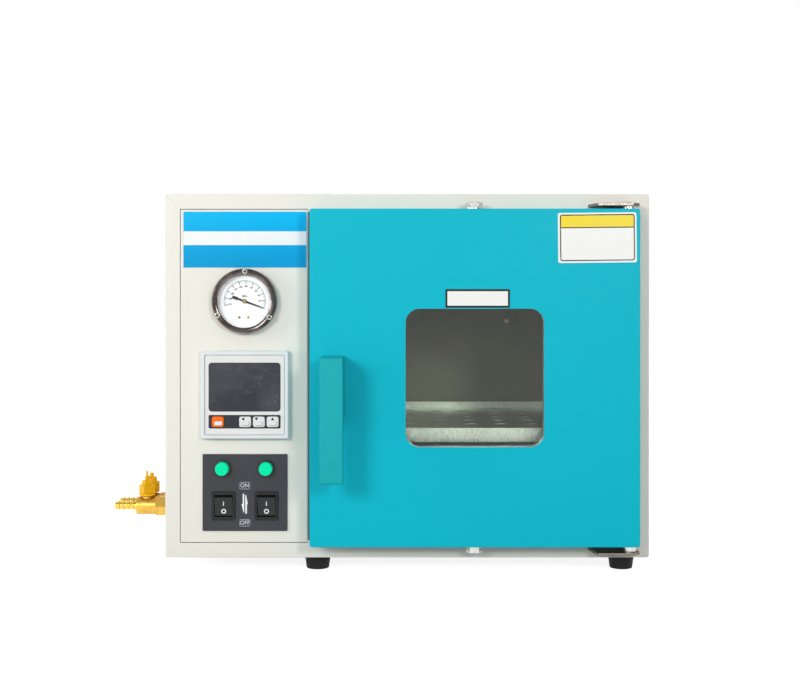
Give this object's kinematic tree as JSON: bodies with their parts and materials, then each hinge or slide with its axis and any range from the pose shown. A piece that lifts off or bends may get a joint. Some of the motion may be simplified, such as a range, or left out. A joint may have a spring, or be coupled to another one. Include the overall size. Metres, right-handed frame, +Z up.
{
  "type": "vacuum oven",
  "caption": "Bench-top vacuum drying oven with a side control panel, dial vacuum gauge, hinged window door with pull handle, inner shelf and side valves.",
  "frame": {"origin": "on the bench under the middle of the whole object's bounding box", "axes": "+X to the user's right, +Y towards the back, +Z up; the door is on the -Y side"},
  "size_m": [0.6066, 0.443, 0.416],
  "materials": {
    "cabinet_paint": "satin powder coat",
    "door_paint": "satin powder coat",
    "stainless": "brushed",
    "plated_steel": "bright",
    "sheet_steel": "zinc plated",
    "brass": "machined",
    "rubber_black": "matte",
    "silicone": "matte",
    "glass": "polished",
    "acrylic": "polished",
    "mineral_wool": "soft",
    "mica": "matte",
    "plastic_black": "fine grain",
    "plastic_white": "fine grain",
    "plastic_grey": "fine grain",
    "plate_black": "semi gloss",
    "display_black": "gloss",
    "dial_white": "painted",
    "needle_black": "painted",
    "lamp_green": "gloss",
    "key_orange": "fine grain",
    "key_white": "fine grain",
    "yellow_plastic": "fine grain"
  },
  "bodies": {
    "cabinet": {"cabinet_shell": "cabinet_paint", "rear_panel": "cabinet_paint", "rear_screws": "plated_steel", "feet": "rubber_black", "foot_screws": "plated_steel", "control_panel": "cabinet_paint", "divider": "sheet_steel", "chamber_front_panel": "cabinet_paint", "chamber": "stainless", "chamber_flange": "stainless", "door_gasket": "silicone", "heater_plates": "mica", "insulation": "mineral_wool", "temperature_probe": "stainless", "chamber_stand": "sheet_steel", "shelf_rails": "stainless", "gauge_case": "plastic_black", "gauge_bezel": "plated_steel", "gauge_screws": "plated_steel", "gauge_dial": "dial_white", "gauge_glass": "glass", "gauge_tube": "brass", "controller_housing": "plastic_white", "controller_fascia": "plastic_grey", "controller_display": "display_black", "keypad_strip": "plastic_black", "switch_plate": "plate_black", "lamp_bezels": "plastic_black", "lamp_lenses": "lamp_green", "switch_frames": "plastic_black", "hinge_brackets": "plated_steel", "hinge_pins": "plated_steel", "hinge_washers": "plated_steel", "catch_magnet": "rubber_black", "valve_bodies": "brass", "hose_barbs": "brass", "vacuum_pipes": "stainless", "power_inlet": "plastic_black", "power_relay": "plastic_black"},
    "door": {"door_shell": "door_paint", "glass_carrier": "sheet_steel", "door_glass": "glass", "window_pane": "acrylic", "hinge_arms": "sheet_steel", "door_bolts": "plated_steel", "door_handle": "door_paint", "handle_screws": "plated_steel"},
    "shelf": {"shelf": "stainless"},
    "power_rocker": {"power_rocker": "plastic_black"},
    "heat_rocker": {"heat_rocker": "plastic_black"},
    "vacuum_valve_handle": {"vacuum_valve_handle": "yellow_plastic"},
    "vent_valve_handle": {"vent_valve_handle": "yellow_plastic"},
    "gauge_needle": {"gauge_needle": "needle_black"},
    "set_button": {"set_button": "key_orange"},
    "shift_button": {"shift_button": "key_white"},
    "down_button": {"down_button": "key_white"},
    "up_button": {"up_button": "key_white"}
  },
  "joints": [
    {"name": "door_swing", "type": "hinge", "parent": "cabinet", "child": "door", "pos_m": [0.2783, -0.1495, 0.217], "axis": [0, 0, 1], "range_deg": [0, 120]},
    {"name": "shelf_slide", "type": "slide", "parent": "cabinet", "child": "shelf", "axis": [0, -1, 0], "range_m": [0, 0.01]},
    {"name": "power_rocker_tilt", "type": "hinge", "parent": "cabinet", "child": "power_rocker", "pos_m": [-0.1624, -0.1295, 0.075], "axis": [-1, 0, 0], "range_deg": [0, 22]},
    {"name": "heat_rocker_tilt", "type": "hinge", "parent": "cabinet", "child": "heat_rocker", "pos_m": [-0.1155, -0.1295, 0.075], "axis": [-1, 0, 0], "range_deg": [0, 22]},
    {"name": "vacuum_valve_turn", "type": "hinge", "parent": "cabinet", "child": "vacuum_valve_handle", "pos_m": [-0.266, -0.0315, 0.08], "axis": [0, 0, 1], "range_deg": [0, 90]},
    {"name": "vent_valve_turn", "type": "hinge", "parent": "cabinet", "child": "vent_valve_handle", "pos_m": [-0.266, -0.0045, 0.08], "axis": [0, 0, 1], "range_deg": [0, 90]},
    {"name": "gauge_needle_turn", "type": "hinge", "parent": "cabinet", "child": "gauge_needle", "pos_m": [-0.1391, -0.1365, 0.2988], "axis": [0, -1, 0], "range_deg": [0, 212], "stiffness_Nm_per_rad": 0.0002},
    {"name": "set_button_press", "type": "slide", "parent": "cabinet", "child": "set_button", "axis": [0, 1, 0], "range_m": [0, 0.0008], "stiffness_N_per_m": 200},
    {"name": "shift_button_press", "type": "slide", "parent": "cabinet", "child": "shift_button", "axis": [0, 1, 0], "range_m": [0, 0.0008], "stiffness_N_per_m": 200},
    {"name": "down_button_press", "type": "slide", "parent": "cabinet", "child": "down_button", "axis": [0, 1, 0], "range_m": [0, 0.0008], "stiffness_N_per_m": 200},
    {"name": "up_button_press", "type": "slide", "parent": "cabinet", "child": "up_button", "axis": [0, 1, 0], "range_m": [0, 0.0008], "stiffness_N_per_m": 200}
  ]
}
